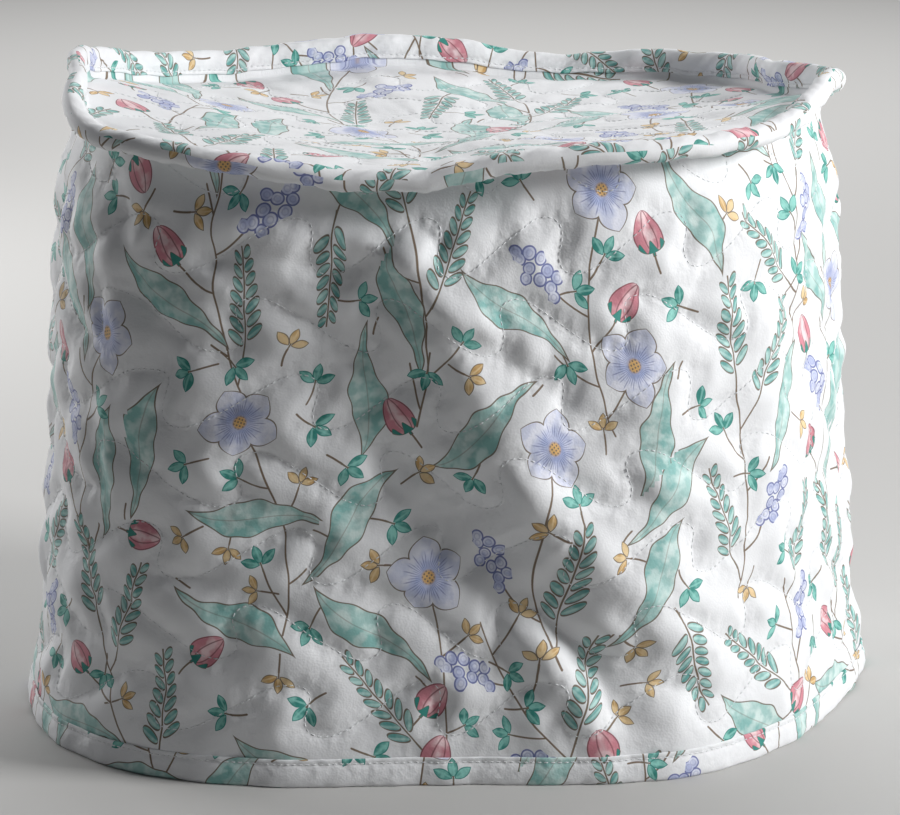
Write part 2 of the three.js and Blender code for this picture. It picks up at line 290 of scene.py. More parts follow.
# The oval's middle lies off the origin, which is under the middle of the whole cover. The two are told
# apart by the hem binding's box: its middle in the frame, less its middle about the oval
def ovalMiddle():
    angle = columnAngles(84, -180)  # as many as the solid's
    height = form["hemEdge"]
    seam = seamAt(angle)
    ring = place(angle, wallReach(angle, height, seam["wallTop"]), height)
    low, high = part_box("hem_binding")
    middle = (np.array(low) + np.array(high)) / 2
    ringMiddle = (ring.min(axis=0) + ring.max(axis=0)) / 2 * millimetre
    return np.array([middle[0] - ringMiddle[0], middle[1] - ringMiddle[1], 0])


def columnAngles(columns, start):
    return start + 360 * np.arange(columns) / columns


backSeam = 90  # the band is joined at the back
shift = ovalMiddle()
print("oval middle at", shift.round(4))


# One mesh from points in millimetres and arrays of faces, with a map in millimetres for each corner and
# each point's distance from the nearest stitches
def clothPiece(name, points, faces, corners=None, away=None):
    mesh = bpy.data.meshes.new(name)
    points = np.asarray(points, dtype=float).reshape(-1, 3) * millimetre + shift
    sizes = np.concatenate([np.full(len(group), group.shape[1]) for group in faces])
    loops = np.concatenate([group.ravel() for group in faces])
    mesh.vertices.add(len(points))
    mesh.vertices.foreach_set("co", points.ravel())
    mesh.loops.add(len(loops))
    mesh.loops.foreach_set("vertex_index", loops.astype(np.int32))
    mesh.polygons.add(len(sizes))
    mesh.polygons.foreach_set("loop_start", (np.cumsum(sizes) - sizes).astype(np.int32))
    mesh.polygons.foreach_set("loop_total", sizes.astype(np.int32))
    mesh.update(calc_edges=True)
    mesh.polygons.foreach_set("use_smooth", np.ones(len(sizes), dtype=bool))
    if corners is not None:
        mesh.uv_layers.new(name="cloth").data.foreach_set("uv", (corners * millimetre).ravel())
        field = mesh.attributes.new("stitchDistance", "FLOAT", "POINT")
        field.data.foreach_set("value", np.asarray(away, dtype=float).ravel())
    mesh.validate()
    piece = bpy.data.objects.new(name, mesh)
    bpy.context.scene.collection.objects.link(piece)
    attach(piece, "root")
    return piece


# Two places for materials: the printed outside, and the plain inside
def twoSided(piece, inside):
    for _ in range(2):
        piece.data.materials.append(None)
    piece.data.polygons.foreach_set("material_index", inside.astype(np.int32))


# Faces of a grid of closed rows: each joins a row's neighbours to the next row's. rolled joins last to first
def ringFaces(rows, columns, rolled):
    row = np.arange(rows if rolled else rows - 1)[:, None]
    column = np.arange(columns)[None, :]
    nextRow = (row + 1) % rows
    nextColumn = (column + 1) % columns
    quads = [row * columns + column, row * columns + nextColumn,
             nextRow * columns + nextColumn, nextRow * columns + column]
    return np.stack(quads, axis=-1).reshape(-1, 4)


# Map of the same faces, rolled: the girth up to each column, and for each row, the first again at the end,
# how far up the cloth it is
def ringCorners(girth, up):
    up = np.broadcast_to(up, (len(up), len(girth) - 1))
    up = np.concatenate([up, up[:, :1]], axis=1)
    flat = np.stack([np.broadcast_to(girth, up.shape), up], axis=-1)
    quads = [flat[:-1, :-1], flat[:-1, 1:], flat[1:, 1:], flat[1:, :-1]]
    return np.stack(quads, axis=2).reshape(-1, 2)


# Length round a ring, from its first column to each column and back to the first
def girthAlong(ring):
    steps = np.linalg.norm(np.roll(ring, -1, axis=0) - ring, axis=-1)
    return np.concatenate([[0], np.cumsum(steps)])


band = {
    "columns": 540, "outerRows": (118, 6), "innerRows": (30, 3),  # up the wall, round the bend
    "hemRows": (1.5, 6, 12.5, 16), "girthAt": 150.0,
}
thick = {"wall": 3, "seam": 1.5, "hem": 1.8, "gap": 0.3}
seamSteps = (0, form["bindingFoot"], 7, form["clothEdge"])
farFromStitches = 20.0


# Rows of the band's middle surface from hem to seam edge: their points, how far into the seam they are, the
# heights of those on the wall, and how far up the cloth they all are
def bandRows(seam, wallCount, bendCount):
    lowest = form["hemStrip"] + form["hemEase"]
    heights = [np.full_like(seam["angle"], height, dtype=float) for height in band["hemRows"]]
    heights += [mix(lowest, seam["wallTop"], share) for share in np.linspace(0, 1, wallCount)]
    heights = np.array(heights)
    wall = place(seam["angle"], wallReach(seam["angle"], heights, seam["wallTop"]), heights)
    bendShares = (np.arange(bendCount) + 1) / (bendCount + 1)
    bend = []
    for share in bendShares:
        out, rise = bendStep(0, seam["lean"] * share, form["bandBend"] * share)
        bend.append(place(seam["angle"], seam["wallTopReach"] + out, seam["wallTop"] + rise))
    standing = [alongSeam(seam, step) for step in seamSteps]
    above = [form["bandBend"] * share for share in bendShares]
    above += [form["bandBend"] + step for step in seamSteps]
    levels = np.concatenate([heights, np.array([seam["wallTop"] + step for step in above])])
    seamShare = np.concatenate([np.zeros(len(heights)), bendShares, np.ones(len(seamSteps))])
    return np.concatenate([wall, np.array(bend), np.array(standing)]), seamShare, heights, levels


# The band as one closed sheet: the outer side upwards, then the inner side downwards
def sideBand():
    angle = columnAngles(band["columns"], backSeam - 360)
    seam = seamAt(angle)
    across = quiltAcross(angle)
    sides, levels, away = [], [], []
    for side, counts in ((1, band["outerRows"]), (-1, band["innerRows"])):
        rows, seamShare, heights, level = bandRows(seam, *counts)
        half = mix(thick["hem"] / 2, thick["wall"] / 2, smooth((level - form["hemStrip"]) / form["hemEase"]))
        puffed = np.zeros_like(level)
        puffed[:len(heights)] = wallFade(heights, seam["wallTop"]) * quiltRelief(across, heights)
        distance = np.full_like(level, farFromStitches)
        distance[:len(heights)] = quiltDistance(across, heights)
        if side == 1:
            onWall, inSeam = half + puffed, thick["gap"] / 2 + thick["seam"]
        else:
            onWall, inSeam = -half - relief["innerShare"] * puffed, thick["gap"] / 2
        offset = mix(onWall, inSeam, (1 - (1 - seamShare) ** 2)[:, None])
        sides.append((rows + rowNormals(rows) * offset[..., None])[::side])
        levels.append(level[::side])
        away.append(distance[::side])
    girth = girthAlong(place(angle, wallReach(angle, band["girthAt"], seam["wallTop"]), band["girthAt"]))
    faces = ringFaces(sum(map(len, sides)), band["columns"], True)
    corners = ringCorners(girth, np.concatenate([*levels, levels[0][:1]]))
    piece = clothPiece("sideCloth", np.concatenate(sides), [faces], corners, np.concatenate(away))
    twoSided(piece, np.arange(len(faces)) >= len(sides[0]) * band["columns"])
    return piece


top = {
    "columns": 400, "rings": 62, "bendRows": 5, "mapTurn": 12, "mapAt": 400,
    "lineReach": 190, "stitchedTo": 0.95,
}


def topBend(seam, bendCount):
    bend = []
    whole = np.pi / 2 - np.radians(form["topSlope"]) - seam["lean"]
    for share in (np.arange(bendCount) + 1) / bendCount:
        out, rise = bendStep(seam["lean"] + np.pi, whole * share, form["panelBend"] * share)
        bend.append(place(seam["angle"], seam["reach"] + out, seam["level"] + rise))
    return np.array(bend)


# The top's underside: a dish that climbs to its edge by share^topDish, with dips, rises and low hills
def topDisc(across, up, share, edgeLevel):
    lowest = form["seamHeight"] - form["panelBend"] - form["topSag"]
    height = mix(lowest, edgeLevel, share ** form["topDish"])
    pushed = foldPush(topFolds + topCreases, lambda at: across - at, up)
    pushed = pushed + hills(across, up, "top") + hills(across, up, "topSmall")
    return np.stack([across, up, height + smooth((1 - share) * form["topFoldFade"]) * pushed], axis=-1)


# Rows from the seam's edge over the bend to the middle, with how far in from the disc's edge each one is
def topRows(seam, shares, bendCount):
    standing = [alongSeam(seam, step) for step in seamSteps[::-1]]
    bend = topBend(seam, bendCount)
    edge = bend[-1]
    share = np.asarray(shares)[:, None]
    disc = topDisc(edge[None, :, 0] * share, edge[None, :, 1] * share, share, edge[None, :, 2])
    openShare = np.concatenate([np.zeros(len(standing) + len(bend)), 1 - np.asarray(shares)])
    return np.concatenate([np.array(standing), bend, disc]), len(standing), len(bend), openShare[:, None]


# Height of the quilting on the top: low, because the top is stretched, and none at its edge
def topPuff(across, up, openShare):
    return smooth(openShare * relief["topFade"]) * relief["topShare"] * quiltRelief(across, up)


# The top as one closed sheet: its under side from the middle to the seam, then its upper side back, and a
# fan of faces that closes each at the middle
def topPanel():
    columns = top["columns"]
    seam = seamAt(columnAngles(columns, backSeam - 360))
    seamNormals = rowNormals(np.array([alongSeam(seam, step) for step in seamSteps]))
    sides, away = [], []
    for side, rings in ((-1, top["rings"] // 2), (1, top["rings"])):
        shares = 1 - (np.arange(rings) + 1) / (rings + 0.5)
        rows, standing, bent, openShare = topRows(seam, shares, top["bendRows"])
        inward = -rowNormals(rows[::-1])[::-1]
        inward[:standing] = -seamNormals[::-1]  # the seam's own, so that all its layers lie alike
        order = np.arange(len(rows))[:, None]
        puffed = topPuff(rows[..., 0], rows[..., 1], openShare)
        if side == 1:
            share = np.clip((order - standing + 1) / (bent + 1), 0, 1)
            offset = thick["gap"] / 2 + mix(thick["seam"], thick["wall"], share) + puffed
        else:
            offset = thick["gap"] / 2 - relief["underShare"] * puffed
        distance = quiltDistance(rows[..., 0], rows[..., 1])
        sides.append((rows + inward * offset[..., None])[::side])
        away.append(np.where(order > standing + bent, distance, farFromStitches)[::side].ravel())
    rows = np.concatenate(sides)
    quads = ringFaces(len(rows), columns, False)
    column = np.arange(columns)
    following = (column + 1) % columns
    middle = len(rows) * columns
    last = middle - columns
    underFan = np.stack([np.full(columns, middle), following, column], axis=-1)
    upperFan = np.stack([last + column, last + following, np.full(columns, middle + 1)], axis=-1)
    points = np.concatenate([rows.reshape(-1, 3), [sides[0][0].mean(axis=0), sides[1][-1].mean(axis=0)]])
    faces = [quads, underFan, upperFan]
    turned = math.radians(top["mapTurn"])
    cosine, sine = math.cos(turned), math.sin(turned)
    corners = np.concatenate([group.ravel() for group in faces])
    flat = points[corners][:, :2] @ np.array([[cosine, sine], [-sine, cosine]])
    away.append([farFromStitches] * 2)
    piece = clothPiece("topCloth", points, faces, flat + top["mapAt"], np.concatenate(away))
    underCount = len(sides[0]) * columns
    under = [np.arange(len(quads)) < underCount, np.ones(columns, dtype=bool), np.zeros(columns, dtype=bool)]
    twoSided(piece, np.concatenate(under))
    return piece


# Half sections of the folded strips: distance from the strip's fold, then half thickness, in millimetres
rimStrip = {
    "columns": 700, "plump": 0.55, "ripple": 0.16, "stitchAt": (10, 2.62), "waves": (9.3, 14.9),
    "outside": [(0, 0.0), (0.12, 1.3), (0.6, 2.3), (1.6, 3.0), (3.2, 3.55), (5.5, 3.8), (7.6, 3.5),
                (9.2, 2.95), (10, 2.62), (10.8, 2.82), (11.6, 2.75), (12, 2.4)],
    "inside": [(12, 2.0), (7, 2.0), (2.2, 2.0), (1.4, 1.2), (1.2, 0.0)],
}
hemStrip = {
    "columns": 700, "plump": 0.0, "ripple": 0.14, "stitchAt": (10.4, 1.78), "waves": (9.3, 14.9),
    "outside": [(0, 0.0), (0.02, 1.3), (0.5, 1.95), (1.6, 2.4), (3.6, 2.65), (6.4, 2.6), (8.6, 2.3),
                (9.6, 2.0), (10.4, 1.78), (11.2, 2.02), (12.1, 1.95), (12.5, 1.65)],
    "inside": [(12.5, 1.25), (6, 1.25), (1.4, 1.25), (1.1, 0.8), (1.0, 0.0)],
}


# A place on a strip and its outward normal. The cloth ripples along the strip, drawn in by its stitches
def stripPoint(strip, angle, row, plumpAt, distance, side):
    middle, normals = row
    lean = math.copysign(1, side) if side else 0
    spare = max(abs(side) - strip["inside"][0][1], 0)
    across = quiltAcross(angle)
    short, long = strip["waves"]
    wave = np.sin(2 * np.pi * (across + 1.5 * distance * lean) / short)
    wave = wave + 0.6 * np.sin(2 * np.pi * (across - distance) / long)
    swell = lean * spare * (strip["plump"] * plumpAt + strip["ripple"] * wave)
    return middle + normals * (side + swell)[:, None], normals * lean


# A folded strip: its half section is carried round the oval and mirrored on the other side
def foldedStrip(name, strip, rowsAt, turnedOver):
    angle = columnAngles(strip["columns"], backSeam - 360)
    rowAt, plumpAt = rowsAt(angle)
    half = np.array(strip["outside"] + strip["inside"])
    section = np.concatenate([half, half[::-1][1:-1] * [1, -1]])
    if turnedOver:
        section = section[::-1]
    points = np.array([stripPoint(strip, angle, rowAt(distance), plumpAt, distance, side)[0]
                       for distance, side in section])
    girth = girthAlong(points[0])
    steps = np.linalg.norm(np.diff(points[:, 0], axis=0, append=points[:1, 0]), axis=-1)
    corners = ringCorners(girth, np.concatenate([[0], np.cumsum(steps)])[:, None])
    away = np.repeat(np.abs(section[:, 0] - strip["stitchAt"][0]), len(angle))
    return clothPiece(name, points, [ringFaces(len(points), len(angle), True)], corners, away)


def rimRows(angle):
    seam = seamAt(angle)
    rows = np.array([alongSeam(seam, distance) for distance in (0, form["seamTall"])])
    normals = rowNormals(rows)[0]
    return (lambda down: (alongSeam(seam, form["seamTall"] - down), normals)), flopShare(angle)


def hemRows(angle):
    seam = seamAt(angle)
    heights = (form["hemEdge"], form["hemStrip"])
    low, high = (place(angle, wallReach(angle, height, seam["wallTop"]), height) for height in heights)
    normals = rowNormals(np.array([low, high]))[0] * [1, 1, 0]
    normals = normals / np.linalg.norm(normals, axis=-1, keepdims=True)

    def rowAt(height):
        middle = mix(low, high, (height - heights[0]) / (heights[1] - heights[0]))
        middle[..., 2] = height
        return middle, normals

    return rowAt, np.zeros_like(angle)


thread = {
    "length": 2.3, "gap": 0.7, "radius": 0.27, "dip": 0.3, "rise": 0.09, "endRadius": 0.45,
    "rings": (0, 0.2, 0.8, 1), "sides": 4, "fineSteps": 4000, "lineStep": 0.8,
}


# Stitches on a line of surface points: each is a small tube of four rings, its ends dipped into the cloth
def threadAlong(points, normals, shown):
    along = np.concatenate([[0], np.cumsum(np.linalg.norm(np.diff(points, axis=0), axis=-1))])
    pitch = thread["length"] + thread["gap"]
    stations = np.arange(0, along[-1] - pitch, pitch)[:, None] + thread["length"] * np.array(thread["rings"])

    def at(field):
        return np.stack([np.interp(stations, along, column) for column in field.T], axis=-1)

    kept = at(shown[:, None].astype(float)).min(axis=(1, 2)) > 0.99
    normal = at(normals)[kept]
    lift = np.array([-thread["dip"], thread["rise"], thread["rise"], -thread["dip"]])
    middle = at(points)[kept] + normal * lift[:, None]
    heading = middle[:, -1:] - middle[:, :1]
    side = np.cross(heading / np.linalg.norm(heading, axis=-1, keepdims=True), normal)
    turn = 2 * np.pi * np.arange(thread["sides"]) / thread["sides"]
    ring = np.cos(turn)[:, None] * side[:, :, None] + np.sin(turn)[:, None] * normal[:, :, None]
    radii = thread["radius"] * np.array([thread["endRadius"], 1, 1, thread["endRadius"]])
    return middle[:, :, None] + ring * radii[:, None, None]


def stitchPiece(name, lines):
    points = np.concatenate(lines)
    sides = thread["sides"]
    first = 4 * sides * np.arange(len(points))[:, None, None]
    ring = sides * np.arange(3)[:, None]
    side = np.arange(sides)
    following = (side + 1) % sides
    start = first + ring
    corners = [start + side, start + sides + side, start + sides + following, start + following]
    tubes = np.stack(corners, axis=-1).reshape(-1, 4)
    starts = first[:, 0] + side
    ends = first[:, 0] + 3 * sides + side[::-1]
    return clothPiece(name, points, [np.concatenate([tubes, starts, ends])])


# A quilting line as across and up: where the row number of quiltRow is the given whole number
def quiltLine(row, reach):
    count = int(2 * reach / thread["lineStep"])
    sheared = np.linspace(-reach, reach, count)
    swing = np.sin(2 * np.pi * sheared / quilting["wave"])
    full = quilting["fullness"]
    fill = np.sqrt((1 + full ** 2) / (swing ** 2 + full ** 2))
    up = row * quilting["pitch"] - quilting["swing"] * swing * fill
    return sheared - quilting["shear"] * np.sin(np.pi * up / quilting["pitch"]), up


# Unit normals of a surface function at places: its two slopes crossed
def slopesCrossed(surface, first, second, firstStep, secondStep):
    along = surface(first + firstStep, second) - surface(first - firstStep, second)
    up = surface(first, second + secondStep) - surface(first, second - secondStep)
    normals = np.cross(along, up)
    return normals / (np.linalg.norm(normals, axis=-1, keepdims=True) + tiny)


def quiltStitches():
    def middleAt(angle, height):
        return place(angle, wallReach(angle, height, seamAt(angle)["wallTop"]), height)

    lines = []
    girth = quilting["wavesRound"] * quilting["wave"]
    for row in range(1, 9):
        across, height = quiltLine(row, girth / 2)
        angle = across / girth * 360
        wallTop = seamAt(angle)["wallTop"]
        shown = (height > form["hemStrip"] + 4) & (height < wallTop - 1)
        normals = slopesCrossed(middleAt, angle, height, 0.2, 0.8)
        half = mix(thick["hem"] / 2, thick["wall"] / 2, smooth((height - form["hemStrip"]) / form["hemEase"]))
        lift = half + wallFade(height, wallTop) * quiltRelief(across, height)
        lines.append(threadAlong(middleAt(angle, height) + normals * lift[:, None], normals, shown))
    return stitchPiece("quiltStitches", lines)


def topStitches():
    def shareAt(across, up):
        edge = topBend(seamAt(np.degrees(np.arctan2(up, across))), 1)[-1]
        return np.hypot(across, up) / np.hypot(edge[..., 0], edge[..., 1]), edge[..., 2]

    def middleAt(across, up):
        share, level = shareAt(across, up)
        return topDisc(across, up, np.minimum(share, 1.1), level)

    lines = []
    for row in range(-4, 5):
        across, up = quiltLine(row, top["lineReach"])
        share = shareAt(across, up)[0]
        normals = slopesCrossed(middleAt, across, up, 0.8, 0.8)
        lift = thick["gap"] / 2 + thick["wall"] + topPuff(across, up, np.maximum(1 - share, 0))
        points = middleAt(across, up) + normals * lift[:, None]
        lines.append(threadAlong(points, normals, share < top["stitchedTo"]))
    return stitchPiece("topStitches", lines)


def stripStitches(name, strip, rowsAt):
    angle = columnAngles(thread["fineSteps"], backSeam - 360)
    rowAt, plumpAt = rowsAt(angle)
    distance, side = strip["stitchAt"]
    lines = []
    for lean in (1, -1):
        points, normals = stripPoint(strip, angle, rowAt(distance), plumpAt, distance, lean * side)
        lines.append(threadAlong(points, normals, np.ones(len(angle), dtype=bool)))
    return stitchPiece(name, lines)


sideCloth = sideBand()
topCloth = topPanel()
rimCloth = foldedStrip("rimBindingCloth", rimStrip, rimRows, True)
hemCloth = foldedStrip("hemBindingCloth", hemStrip, hemRows, False)
cloths = [sideCloth, topCloth, rimCloth, hemCloth]
print("cloth made:", ", ".join(f"{piece.name} {len(piece.data.vertices)} points" for piece in cloths))

threads = [
    quiltStitches(), topStitches(), stripStitches("rimStitches", rimStrip, rimRows),
    stripStitches("hemStitches", hemStrip, hemRows),
]
print("stitches made:", ", ".join(f"{piece.name} {len(piece.data.polygons)} faces" for piece in threads))

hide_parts("side_band")
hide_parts("top_panel")
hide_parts("rim_binding")
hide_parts("hem_binding")


def colour(red, green, blue):
    shares = [channel / 255 for channel in (red, green, blue)]
    return tuple(s / 12.92 if s <= 0.04045 else ((s + 0.055) / 1.055) ** 2.4 for s in shares) + (1,)


def newMaterial(name, roughness):
    material = bpy.data.materials.new(name)
    material.use_nodes = True
    sockets = material.node_tree.nodes["Principled BSDF"].inputs
    sockets["Roughness"].default_value = roughness
    return material, material.node_tree, sockets


# A node's output, so that formulas made of nodes can be written with +, -, *, / and **
class Wire:
    def __init__(self, socket):
        self.socket = socket

    def __add__(self, other):
        return calc("ADD", self, other)

    def __sub__(self, other):
        return calc("SUBTRACT", self, other)

    def __rsub__(self, other):
        return calc("SUBTRACT", other, self)

    def __mul__(self, other):
        return calc("MULTIPLY", self, other)

    def __truediv__(self, other):
        return calc("DIVIDE", self, other)

    def __pow__(self, other):
        return calc("POWER", self, other)

    def __abs__(self):
        return calc("ABSOLUTE", self)

    def clamped(self):
        self.socket.node.use_clamp = True
        return self

    __radd__, __rmul__ = __add__, __mul__


# A wire is linked to an input, and any other value is set on it
def feed(socket, value):
    if isinstance(value, Wire):
        socket.id_data.links.new(value.socket, socket)
    else:
        socket.default_value = value


def treeOf(*values):
    return next(value.socket.id_data for value in values if isinstance(value, Wire))


def addNode(tree, kind, inputs=None, output=0, **settings):
    made = tree.nodes.new(kind)
    for key, value in settings.items():
        setattr(made, key, value)
    for key, value in (inputs or {}).items():
        feed(made.inputs[key], value)
    return Wire(made.outputs[output])


def calc(operation, *values):
    return addNode(treeOf(*values), "ShaderNodeMath", dict(enumerate(values)), operation=operation)


def most(first, second):
    return calc("MAXIMUM", first, second)


def vectorCalc(operation, *values, output=0):
    inputs = dict(enumerate(values))
    return addNode(treeOf(*values), "ShaderNodeVectorMath", inputs, output, operation=operation)


# 0 where the value is under low, 1 over high, eased between; low may be over high
def ramp(value, low, high):
    inputs = {"Value": value, "From Min": low, "From Max": high}
    return addNode(treeOf(value), "ShaderNodeMapRange", inputs, interpolation_type="SMOOTHSTEP")


def paint(share, under, over):
    return addNode(treeOf(share), "ShaderNodeMix", {0: share, 6: under, 7: over}, 2, data_type="RGBA")


def noise(point, scale, detail, dimensions="2D"):
    inputs = {"Vector": point, "Scale": scale, "Detail": detail}
    return addNode(treeOf(point), "ShaderNodeTexNoise", inputs, "Fac", noise_dimensions=dimensions)


def splitPoint(point):
    parts = addNode(treeOf(point), "ShaderNodeSeparateXYZ", {0: point}).socket.node.outputs
    return Wire(parts[0]), Wire(parts[1])


def newGroup(name, inputs, outputs):
    tree = bpy.data.node_groups.new(name, "ShaderNodeTree")
    for side, sockets in (("INPUT", inputs), ("OUTPUT", outputs)):
        for key, kind in sockets.items():
            tree.interface.new_socket(key, in_out=side, socket_type="NodeSocket" + kind)
    given = {socket.name: Wire(socket) for socket in tree.nodes.new("NodeGroupInput").outputs}
    return tree, given, tree.nodes.new("NodeGroupOutput").inputs


def useGroup(tree, group, **inputs):
    made = addNode(tree, "ShaderNodeGroup", inputs, node_tree=group).socket.node
    return {socket.name: Wire(socket) for socket in made.outputs}


# Places in the print are in millimetres. Each kind of motif has its size, the half length and half width of
# its ground, how far past its stem's end its middle lies, and the circles along its axis that it fills
motifKinds = {
    "broadLeaf": {"size": 0.84, "ground": (39, 12), "ahead": 30,
                  "circles": ((-24, 7), (-12, 9), (0, 10), (12, 9), (24, 7))},
    "leafSprig": {"size": 1.0, "ground": (27, 13), "ahead": 23,
                  "circles": ((-16, 8), (-5, 9), (6, 9), (16, 8))},
    "leafTrio": {"size": 0.92, "ground": (12, 12), "ahead": 2, "circles": ((4, 8),)},
    "tanTrio": {"size": 0.8, "ground": (12, 12), "ahead": 2, "circles": ((4, 8),)},
    "berries": {"size": 1.0, "ground": (18, 10), "ahead": 12, "circles": ((-9, 6), (0, 8), (9, 6))},
    "rosebud": {"size": 0.88, "ground": (14, 11), "ahead": 9, "circles": ((0, 10),)},
    "starFlower": {"size": 1.0, "ground": (19, 19), "ahead": 6, "circles": ((0, 15),)},
}
printPlan = {
    "tile": (400, 310), "seed": 5, "warp": 2.5, "clearance": 0.3, "groundShare": 1.4, "stemReach": 50.0,
    "mainAcross": 4, "mainUp": 3, "mainLoose": 0.22,
    "mainLength": (80, 120), "mainLean": (5, 50), "mainCurve": (0.002, 0.005),
    "shootFrom": 8, "shootGap": 14,
    "shootLength": (7, 24), "shootTurn": (35, 70), "shootCurve": (0.005, 0.017),
    "shootKinds": ("leafSprig", "broadLeaf", "rosebud", "leafSprig", "leafTrio", "broadLeaf", "tanTrio",
                   "leafSprig", "berries", "broadLeaf", "leafTrio", "leafSprig", "starFlower", "broadLeaf",
                   "rosebud", "berries"),
    "fillKinds": (("broadLeaf", "leafSprig"), ("leafTrio", "rosebud", "leafTrio", "tanTrio", "leafTrio")),
    "fillTries": (260, 900), "fillLength": 8.0, "fillCurve": 0.06,
}
nowhere = [-999.0, -999.0, 0.0]


# A place and heading a distance along a stem, which leaves its straight line by curve times distance squared
def stemPlace(stem, distance):
    x, y, turn, _, curve = stem
    aside = curve * distance ** 2
    cosine, sine = math.cos(turn), math.sin(turn)
    along = np.array([distance * cosine - aside * sine, distance * sine + aside * cosine])
    return np.array([x, y]) + along, turn + math.atan(2 * curve * distance)


# Grows the repeat of the print: long stems on a loose grid, shoots along them on alternate sides, and at
# each shoot's end the first kind of motif in turn that has room. What is left free takes small ones
def growPrint():
    plan = printPlan
    dice = np.random.RandomState(plan["seed"])
    tile = np.array(plan["tile"], dtype=float)
    stems = []
    motifs = {name: [] for name in motifKinds}
    filled = []

    def hasRoom(circles):
        taken = np.array(filled).reshape(-1, 3)
        for x, y, reach in circles:
            gap = (taken[:, :2] - (x, y) + tile / 2) % tile - tile / 2
            if np.any(np.hypot(gap[:, 0], gap[:, 1]) < taken[:, 2] + reach + plan["clearance"]):
                return False
        return True

    def tryMotif(name, end, turn):
        kind = motifKinds[name]
        size = kind["size"]
        heading = np.array([math.cos(turn), math.sin(turn)])
        middle = end + heading * kind["ahead"] * size
        circles = [(*(middle + heading * along * size), reach * size) for along, reach in kind["circles"]]
        if not hasRoom(circles):
            return False
        filled.extend(circles)
        motifs[name].append((middle[0], middle[1], turn))
        return True

    picked = 0
    kinds = plan["shootKinds"]
    for column in range(plan["mainAcross"]):
        for row in range(plan["mainUp"]):
            loose = dice.uniform(-plan["mainLoose"], plan["mainLoose"], 2)
            x = tile[0] * ((column + 0.5 * (row % 2) + loose[0]) / plan["mainAcross"])
            y = tile[1] * ((row + loose[1]) / plan["mainUp"])
            side = -1 if (row + column) % 2 else 1
            length = dice.uniform(*plan["mainLength"])
            heading = math.radians(90 + side * dice.uniform(*plan["mainLean"]))
            stem = (x, y, heading, length, -side * dice.uniform(*plan["mainCurve"]))
            stems.append(stem)
            tryMotif("starFlower" if (row + column) % 3 else "leafSprig", *stemPlace(stem, length))
            for distance in np.arange(plan["shootFrom"], length, plan["shootGap"]):
                base, heading = stemPlace(stem, distance)
                side = -side
                shootLength = dice.uniform(*plan["shootLength"])
                heading = heading + side * math.radians(dice.uniform(*plan["shootTurn"]))
                shoot = (base[0], base[1], heading, shootLength, -side * dice.uniform(*plan["shootCurve"]))
                end, turn = stemPlace(shoot, shootLength)
                for step in range(len(kinds)):
                    if tryMotif(kinds[(picked + step) % len(kinds)], end, turn):
                        stems.append(shoot)
                        picked += step + 1
                        break
    for kinds, tries in zip(plan["fillKinds"], plan["fillTries"]):
        for trial in range(tries):
            x, y, turn, bend = dice.rand(4)
            curve = plan["fillCurve"] * (bend - 0.5)
            shoot = (x * tile[0], y * tile[1], 2 * math.pi * turn, plan["fillLength"], curve)
            if tryMotif(kinds[trial % len(kinds)], *stemPlace(shoot, plan["fillLength"])):
                stems.append(shoot)
    return stems, motifs


stems, motifs = growPrint()
counts = ", ".join(f"{len(places)} {name}" for name, places in motifs.items())
print("print grown:", len(stems), "stems,", counts)


# Offset from a place of the repeat's nearest copy, and the same offset turned into its own axes
def fromPlace(flat, x, y, turn):
    tile = np.array(printPlan["tile"], dtype=float)
    offset = (flat - (x, y) + tile / 2) % tile - tile / 2
    cosine, sine = math.cos(turn), math.sin(turn)
    return offset, offset[:, 0] * cosine + offset[:, 1] * sine, offset[:, 1] * cosine - offset[:, 0] * sine


